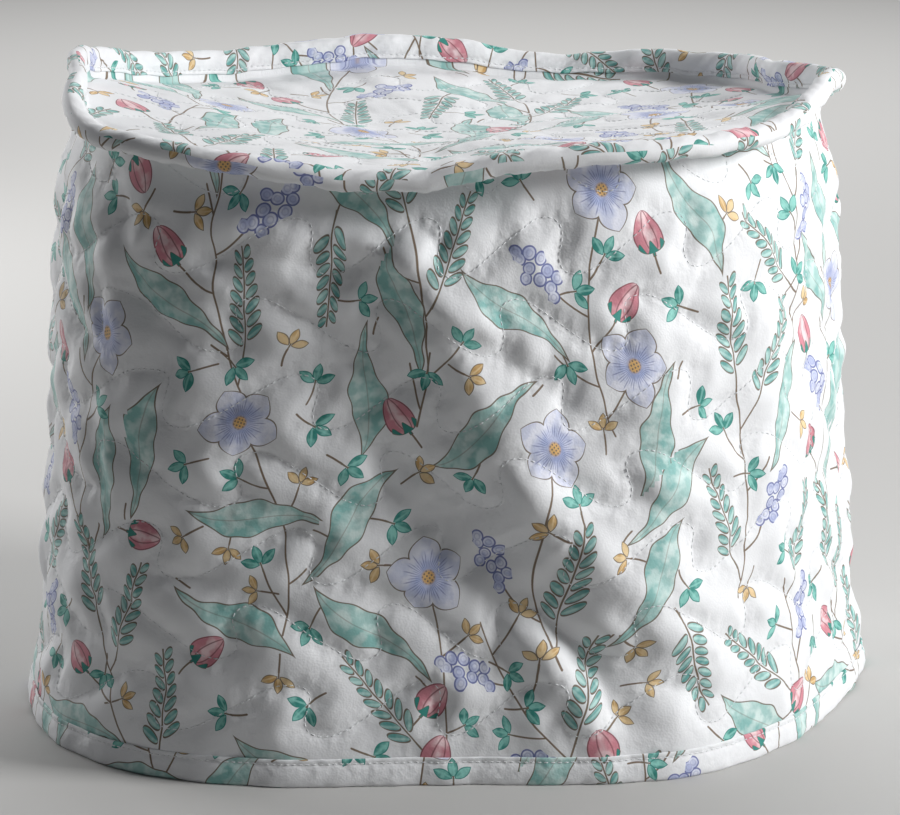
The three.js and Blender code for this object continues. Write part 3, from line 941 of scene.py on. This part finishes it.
# Lays the print on a piece: the cloth map, slid and gently warped, and for each face the nearest motif of
# each kind and the two nearest stems. The material draws them from there
def layPrint(piece, slide):
    mesh = piece.data
    flat = np.empty(2 * len(mesh.loops))
    mesh.uv_layers["cloth"].data.foreach_get("uv", flat)
    flat = flat.reshape(-1, 2) / millimetre + slide
    sway = [np.sin(flat[:, 1] / 31 + flat[:, 0] / 47), np.sin(flat[:, 0] / 37 - flat[:, 1] / 53 + 1.3)]
    flat = flat + printPlan["warp"] * np.stack(sway, axis=-1)
    mesh.uv_layers.new(name="print").data.foreach_set("uv", (flat * millimetre).ravel())
    count = len(mesh.polygons)
    starts, totals = np.empty(count, dtype=np.int32), np.empty(count, dtype=np.int32)
    mesh.polygons.foreach_get("loop_start", starts)
    mesh.polygons.foreach_get("loop_total", totals)
    middles = np.add.reduceat(flat, starts, axis=0) / totals[:, None]

    def keep(name, values):
        mesh.attributes.new(name, "FLOAT_VECTOR", "FACE").data.foreach_set("vector", values.ravel())

    for name, places in motifs.items():
        kind = motifKinds[name]
        least = np.full(count, printPlan["groundShare"])
        nearest = np.tile(nowhere, (count, 1))
        for x, y, turn in places:
            offset, along, aside = fromPlace(middles, x, y, turn)
            far = np.hypot(along / kind["ground"][0], aside / kind["ground"][1]) / kind["size"]
            nearer = far < least
            least[nearer] = far[nearer]
            nearest[nearer, :2] = (middles - offset)[nearer]
            nearest[nearer, 2] = turn
        keep(name + "Place", nearest)

    # each stem's distance is kept as the least, or as the second least in the place of the one before
    distances = np.full((count, 2), printPlan["stemReach"])
    origins = np.tile(nowhere, (count, 2, 1))
    shapes = np.zeros((count, 2, 3))
    for x, y, turn, length, curve in stems:
        offset, along, aside = fromPlace(middles, x, y, turn)
        past = np.maximum(np.maximum(-along, along - length), 0)
        far = np.abs(aside - curve * along ** 2) / np.sqrt(1 + (2 * curve * along) ** 2) + past
        for order in (0, 1):
            nearer = far < distances[:, order]
            if order == 0:
                for kept in (distances, origins, shapes):
                    kept[nearer, 1] = kept[nearer, 0]
            distances[nearer, order] = far[nearer]
            origins[nearer, order, :2] = (middles - offset)[nearer]
            origins[nearer, order, 2] = turn
            shapes[nearer, order] = (length, curve, 0)
            far = np.where(nearer, np.inf, far)
    for order, name in enumerate(("firstStem", "secondStem")):
        keep(name + "Place", origins[:, order])
        keep(name + "Shape", shapes[:, order])


for piece, slide in zip(cloths, ((12, 30), (60, 110), (95, 70), (40, 150))):
    layPrint(piece, slide)
print("print laid")

inks = {
    "ground": (236, 237, 239), "outline": (120, 106, 92), "stem": (126, 108, 90),
    "leafPale": (212, 231, 227), "leafDeep": (136, 188, 183),
    "sprigPale": (188, 221, 216), "sprigDeep": (98, 163, 159),
    "teal": (48, 138, 128), "tealLight": (140, 204, 194), "tan": (204, 164, 104), "tanLight": (234, 208, 162),
    "petalPale": (232, 234, 246), "petalBlue": (170, 181, 217),
    "stroke": (92, 102, 162), "heart": (216, 174, 112),
    "rose": (212, 138, 150), "roseLight": (244, 214, 217), "roseLine": (146, 86, 95),
    "berry": (180, 188, 221), "berryLight": (226, 229, 243), "berryLine": (112, 120, 172),
}
inks = {name: colour(*shade) for name, shade in inks.items()}


# A point seen from a place that a face attribute gives as x, y and turn, in that place's own axes
def seenFrom(tree, point, attribute, size=1):
    at = addNode(tree, "ShaderNodeAttribute", output="Vector", attribute_name=attribute)
    turn = addNode(tree, "ShaderNodeSeparateXYZ", {0: at}, output=2)
    inputs = {"Vector": vectorCalc("SUBTRACT", point, at), "Angle": turn}
    turned = addNode(tree, "ShaderNodeVectorRotate", inputs, rotation_type="Z_AXIS", invert=True)
    return addNode(tree, "ShaderNodeVectorMath", {0: turned, 3: 1 / size}, operation="SCALE")


# Distance to the stem that a pair of face attributes gives: |y - curve x^2| over sqrt(1 + 4 (curve x)^2),
# plus how far the point is past its ends
def stemDistance(tree, point, name):
    x, y = splitPoint(seenFrom(tree, point, name + "Place"))
    shape = addNode(tree, "ShaderNodeAttribute", output="Vector", attribute_name=name + "Shape")
    length, curve = splitPoint(shape)
    slope = curve * x
    past = most(most(x * -1, x - length), 0)
    return abs(y - slope * x) / calc("SQRT", slope * slope * 4 + 1) + past


# Ink and cover of a shape with an outline: distance is under nought inside it, and the line lies along nought
def outlined(distance, fill, line, width):
    edge = ramp(abs(distance), width, width * 0.45)
    return paint(edge, fill, line), most(ramp(distance, 0.15, -0.15), edge)


# A thin stem drawn over a motif, where onStem is 1
def overStem(ink, cover, distance, onStem):
    stem = ramp(distance, 0.5, 0.24) * onStem
    return paint(stem, ink, inks["stem"]), most(cover, stem)


# A long leaf: half width (1 - t^2) times a slow wave and a quick small one, round a middle line that bends
# like an S
def drawBroadLeaf(local, wash):
    halfLength, bend, middleWidth, swell, raggedEdge = 37, 5.5, 7.6, 3.4, 0.7
    x, y = splitPoint(local)
    t = x / halfLength
    y = y - calc("SINE", t * 2.3) * bend
    wave = calc("SINE", t * 3.4 + 0.7) * swell + calc("SINE", t * 15 + 1) * raggedEdge + middleWidth
    deep = (ramp(y, -2, 4) * 0.35 + wash * 0.7).clamped()
    fill = paint(deep, inks["leafPale"], inks["leafDeep"])
    fill = paint(ramp(abs(y), 0.45, 0.15) * 0.4, fill, inks["outline"])  # rib
    return outlined(abs(y) - (1 - t * t) * wave, fill, inks["outline"], 0.5)


# Leaflets in pairs along a stem: the place is slid back along a leaflet's slant, which gives its row
# number and its distance from the leaflet's own middle line. Half width sqrt(1 - t^2)
def drawLeafSprig(local, wash):
    slant, step, rows, foremost = math.radians(50), 6.2, 7, 22
    longest, shorter, halfWidth = 10.2, 0.8, 1.95
    x, y = splitPoint(local)
    x = x + foremost
    aside = abs(y)
    foot = aside * (-1 / math.tan(slant)) + (calc("SIGN", y) * 1.5 + x)
    row = calc("FLOOR", foot / step)
    across = (foot - (row + 0.5) * step) * math.sin(slant)
    long = row * -shorter + longest
    t = (aside / math.sin(slant) - long * 0.56) / (long * 0.45)
    square = t * t
    distance = abs(across) - calc("SQRT", most(1 - square, 0)) * halfWidth + most(square - 1, 0) * 3
    deep = (ramp(abs(across + 0.5), 0.9, 0.2) * -0.55 + (wash * 0.6 + 0.4)).clamped()
    fill = paint(deep, inks["sprigPale"], inks["sprigDeep"])
    ink, cover = outlined(distance, fill, inks["outline"], 0.42)
    onRow = calc("LESS_THAN", abs(row - (rows - 1) / 2), rows / 2)
    return overStem(ink, cover * onRow, aside, calc("LESS_THAN", abs(x - 20), 26))


# Three leaves on a short stem: the direction is folded to the nearest of three. Half width (1 - t^2)
def drawTrio(local, wash, fill, light, line):
    spread, middle, halfLength, halfWidth = 1.05, 5.4, 4.6, 2.2
    x, y = splitPoint(local)
    turn = calc("ARCTAN2", y, x)
    nearest = most(calc("MINIMUM", calc("ROUND", turn / spread), 1), -1)
    folded = turn - nearest * spread
    reach = calc("SQRT", x * x + y * y)
    across = reach * calc("SINE", folded)
    t = (reach * calc("COSINE", folded) - middle) / halfLength
    vein = ramp(abs(across + 0.3), 0.7, 0.2) * 0.75
    pale = paint(vein, paint(wash, fill, light), light)
    ink, cover = outlined(abs(across) - (1 - t * t) * halfWidth, pale, line, 0.34)
    return overStem(ink, cover, abs(y - x * x * 0.012), calc("LESS_THAN", abs(x + 1), 2.5))


# A flower of five petals: half width s^0.7 (1 - s^3), with strokes that run out from its heart
def drawStarFlower(local, wash):
    petalTurn, petalLong, petalWide, heartReach = 2 * math.pi / 5, 16.6, 12.2, 3.2
    x, y = splitPoint(local)
    turn = calc("ARCTAN2", y, x)
    reach = calc("SQRT", x * x + y * y)
    nearest = calc("ROUND", turn / petalTurn)
    folded = turn - nearest * petalTurn
    along = reach * calc("COSINE", folded)
    s = most(along / (calc("SINE", nearest * 2.4) * 1.4 + petalLong), 0)
    distance = abs(reach * calc("SINE", folded)) - s ** 0.7 * (1 - s ** 3) * petalWide
    deep = (ramp(reach, 13.5, 3) * 0.75 + (wash * 0.5 - 0.15)).clamped()
    fill = paint(deep, inks["petalPale"], inks["petalBlue"])
    comb = calc("SINE", turn * 44)
    strokeEnd = calc("SINE", turn * 17) * 2 + 9
    stroke = ramp(comb, 0.2, 0.7) * ramp(reach - strokeEnd, 1, -1.5)
    fill = paint(stroke * 0.6, fill, inks["stroke"])
    ink, cover = outlined(distance, fill, inks["outline"], 0.42)
    heart = ramp(reach + comb * 0.4, heartReach, 0.75 * heartReach)
    dots = calc("SINE", x * 3.1) * calc("SINE", y * 3.1)
    ink = paint(heart, ink, inks["heart"])
    return paint(heart * ramp(dots, 0.2, 0.5), ink, inks["outline"]), most(cover, heart)


# A bud: an egg with two inner petal lines, and a calyx with three points round its foot
def drawRosebud(local, wash):
    halfLength, halfWidth, taper, calyxFoot = 10, 7.2, 1.9, 10
    x, y = splitPoint(local)
    t = (x - 1.5) / halfLength
    egg = calc("SQRT", most(1 - t * t, 0)) * (t * -taper + halfWidth)
    aside = abs(y)
    distance = aside - egg + most(abs(t) - 1, 0) * 8
    fill = paint(ramp(wash * 3.5 + aside, 0.8, 6.5), inks["roseLight"], inks["rose"])
    innerLines = calc("MINIMUM", abs(y + 0.8 - egg * 0.42), abs(y + egg * 0.5))
    fill = paint(ramp(innerLines, 0.5, 0.2) * 0.8, fill, inks["roseLine"])
    ink, cover = outlined(distance, fill, inks["roseLine"], 0.45)
    points = calc("COSINE", y * 1.05) * 2.6 - 5.4
    cup = most(most(x - points, aside - (egg + 0.6)), -calyxFoot - x)
    calyx, calyxCover = outlined(cup, inks["teal"], inks["outline"], 0.3)
    return paint(calyxCover, ink, calyx), most(cover, calyxCover)


# A cluster of ringed berries: cells of scattered points, kept where a cell's point is inside an oval
def drawBerries(local, wash):
    apart, berryReach, ringReach, clusterReach = 5.6, 2.75, 1.3, (15, 6.6)
    inputs = {"Vector": local, "Scale": 1 / apart, "Randomness": 0.55}
    cells = addNode(treeOf(local), "ShaderNodeTexVoronoi", inputs, "Distance",
                    voronoi_dimensions="2D", feature="F1")
    reach = cells * apart
    middle = Wire(cells.socket.node.outputs["Position"])
    spread = vectorCalc("MULTIPLY", middle, (1 / clusterReach[0], 1 / clusterReach[1], 0))
    kept = calc("LESS_THAN", vectorCalc("LENGTH", spread, output=1), 1)
    fill = paint(wash, inks["berryLight"], inks["berry"])
    fill = paint(ramp(abs(reach - ringReach), 0.4, 0.15) * 0.3, fill, inks["berryLine"])
    ink, cover = outlined(reach - berryReach, fill, inks["berryLine"], 0.5)
    return ink, cover * kept


# The node group of a motif: draw gives its ink, and where that covers the cloth
def motifGroup(name, draw, *shades):
    inputs, outputs = {"Local": "Vector", "Wash": "Float"}, {"Ink": "Color", "Cover": "Float"}
    tree, given, result = newGroup(name, inputs, outputs)
    ink, cover = draw(given["Local"], given["Wash"], *shades)
    feed(result["Ink"], ink)
    feed(result["Cover"], cover)
    return tree


motifGroups = {
    "broadLeaf": motifGroup("broadLeaf", drawBroadLeaf),
    "leafSprig": motifGroup("leafSprig", drawLeafSprig),
    "leafTrio": motifGroup("leafTrio", drawTrio, inks["teal"], inks["tealLight"], inks["teal"]),
    "tanTrio": motifGroup("tanTrio", drawTrio, inks["tan"], inks["tanLight"], inks["outline"]),
    "berries": motifGroup("berries", drawBerries),
    "rosebud": motifGroup("rosebud", drawRosebud),
    "starFlower": motifGroup("starFlower", drawStarFlower),
}
print("motifs made:", ", ".join(motifGroups))

cloth = {
    "washScale": 0.16, "weaveStep": 0.42, "weaveHeight": 0.02, "slubScale": 1.1, "slubHeight": 0.07,
    "crinkleScale": 0.12, "crinkleHeight": 1.1, "awayFromStitches": 0.2, "drawnIn": 0.16,
    "bump": 0.8, "roughness": 0.68, "sheen": 0.12, "sheenRoughness": 0.4,
}


# The whole print: stems first, then each kind of motif over them, on a white ground
def floralPrint():
    tree, given, result = newGroup("floralPrint", {"Print": "Vector"}, {"Color": "Color"})
    point = given["Print"]
    wash = ramp(noise(point, cloth["washScale"], 2), 0.32, 0.66)
    nearest = calc("MINIMUM", stemDistance(tree, point, "firstStem"), stemDistance(tree, point, "secondStem"))
    shade = paint(ramp(nearest, 0.55, 0.28), inks["ground"], inks["stem"])
    for name, kind in motifKinds.items():
        local = seenFrom(tree, point, name + "Place", kind["size"])
        drawn = useGroup(tree, motifGroups[name], Local=local, Wash=wash)
        shade = paint(drawn["Cover"], shade, drawn["Ink"])
    feed(result["Color"], shade)
    return tree


# Weave and crinkle as one height in millimetres: threads both ways, and small hills, with a crease, that
# are strongest near the stitches
def clothGrain():
    tree, given, result = newGroup("clothGrain", {"Cloth": "Vector", "Away": "Float"}, {"Height": "Float"})
    perThread = math.pi / cloth["weaveStep"]
    weave = sum(abs(calc("SINE", axis * perThread)) for axis in splitPoint(given["Cloth"]))
    crinkle = noise(given["Cloth"], cloth["crinkleScale"], 2) - 0.5
    near = ramp(given["Away"], 12, 0.5) * (1 - cloth["awayFromStitches"]) + cloth["awayFromStitches"]
    height = crinkle * (near * cloth["crinkleHeight"]) - ramp(given["Away"], 2.6, 0.2) * cloth["drawnIn"]
    slub = noise(given["Cloth"], cloth["slubScale"], 0) * cloth["slubHeight"]
    feed(result["Height"], height + weave * cloth["weaveHeight"] + slub)
    return tree


printGroup = floralPrint()
grainGroup = clothGrain()


# A piece's own map as places in millimetres
def mapPlace(tree, name):
    flat = addNode(tree, "ShaderNodeUVMap", uv_map=name)
    return addNode(tree, "ShaderNodeMapping", {"Vector": flat, "Scale": [1 / millimetre] * 3})


# Cotton with the cloth's grain as its bump; its colour is fed by the caller
def cottonMaterial(name):
    material, tree, sockets = newMaterial(name, cloth["roughness"])
    away = addNode(tree, "ShaderNodeAttribute", output="Fac", attribute_name="stitchDistance")
    height = useGroup(tree, grainGroup, Cloth=mapPlace(tree, "cloth"), Away=away)["Height"]
    inputs = {"Height": height, "Distance": millimetre, "Strength": cloth["bump"]}
    feed(sockets["Normal"], addNode(tree, "ShaderNodeBump", inputs))
    feed(sockets["Sheen Weight"], cloth["sheen"])
    feed(sockets["Sheen Roughness"], cloth["sheenRoughness"])
    return material, tree, sockets


printed, tree, sockets = cottonMaterial("printedCotton")
feed(sockets["Base Color"], useGroup(tree, printGroup, Print=mapPlace(tree, "print"))["Color"])

# The inner face: the same cotton unprinted, faintly mottled
backing, tree, sockets = cottonMaterial("plainBacking")
mottle = noise(addNode(tree, "ShaderNodeTexCoord", output="Object"), 22, 2, "3D")
feed(sockets["Base Color"], paint(mottle, colour(218, 218, 214), colour(232, 232, 229)))

# White thread, with a twist that shows as fine slanting bands
threadCotton, tree, sockets = newMaterial("threadCotton", 0.5)
inputs = {"Vector": addNode(tree, "ShaderNodeTexCoord", output="Object"), "Scale": 900, "Distortion": 1}
twist = addNode(tree, "ShaderNodeTexWave", inputs, "Fac", bands_direction="DIAGONAL")
feed(sockets["Base Color"], paint(twist, colour(222, 224, 226), colour(246, 247, 250)))
feed(sockets["Normal"], addNode(tree, "ShaderNodeBump", {"Height": twist, "Distance": 0.1 * millimetre}))

for piece in (sideCloth, topCloth):
    piece.data.materials[0] = printed
    piece.data.materials[1] = backing
for piece in (rimCloth, hemCloth):
    piece.data.materials.append(printed)
for piece in threads:
    piece.data.materials.append(threadCotton)
print("materials done")

# Camera: the view that the solids were fitted to
view = {"distance": 1.52, "elevation": 12.85, "azimuth": -14, "aimHeight": 0.1365, "lens": 128, "sensor": 36}
turned = math.radians(view["azimuth"])
raised = math.radians(view["elevation"])
back = Vector((math.sin(turned) * math.cos(raised), -math.cos(turned) * math.cos(raised), math.sin(raised)))
right = Vector((math.cos(turned), math.sin(turned), 0))
aim = Vector((shift[0], shift[1], view["aimHeight"]))
cameraData = bpy.data.cameras.new("camera")
cameraData.lens = view["lens"]
cameraData.sensor_width = view["sensor"]
camera = bpy.data.objects.new("camera", cameraData)
camera.location = aim + back * view["distance"]
camera.rotation_euler = (-back).to_track_quat("-Z", "Y").to_euler()
bpy.context.scene.collection.objects.link(camera)
bpy.context.scene.camera = camera

# A wide pale floor, which fills the picture behind the cover as well
stage = {"half": 7.0, "shade": (192, 191, 189)}
half = stage["half"]
floorMesh = bpy.data.meshes.new("floor")
corners = [(-half, -half, 0), (half, -half, 0), (half, half, 0), (-half, half, 0)]
floorMesh.from_pydata(corners, [], [(0, 1, 2, 3)])
floor = bpy.data.objects.new("floor", floorMesh)
bpy.context.scene.collection.objects.link(floor)
floorMaterial, _, sockets = newMaterial("paleFloor", 0.85)
feed(sockets["Base Color"], colour(*stage["shade"]))
floorMesh.materials.append(floorMaterial)

# Strong key from the right, weaker light from the far left, a low soft one from above
lamps = {
    "key": {"at": (1.42, 0.42, 0.84), "aim": (0, 0, 0.14), "size": 0.45, "power": 26},
    "far": {"at": (-1.2, -1.0, 0.55), "aim": (0, 0, 0.14), "size": 0.8, "power": 14},
    "above": {"at": (0.3, -0.1, 1.75), "aim": (0, 0, 0.14), "size": 1.2, "power": 4.6},
    "floorBehind": {"at": (0, -2.3, 2.1), "aim": (0, -2.9, 0), "size": 1.8, "power": 62},
}
forward = Vector((back.x, back.y, 0)).normalized()  # from the cover towards the camera, level
for name, lamp in lamps.items():
    data = bpy.data.lights.new(name, "AREA")
    data.energy = lamp["power"]
    data.size = lamp["size"]
    light = bpy.data.objects.new(name, data)
    spot, target = (right * along + forward * towards + Vector((0, 0, height))
                    for along, towards, height in (lamp["at"], lamp["aim"]))
    light.location = spot
    light.rotation_euler = (target - spot).to_track_quat("-Z", "Y").to_euler()
    bpy.context.scene.collection.objects.link(light)
world = bpy.data.worlds.new("studio")
bpy.context.scene.world = world
world.use_nodes = True
world.node_tree.nodes["Background"].inputs["Color"].default_value = colour(200, 204, 212)
world.node_tree.nodes["Background"].inputs["Strength"].default_value = 0.08
bpy.context.scene.view_settings.view_transform = "Standard"
print("camera, floor and lights done")
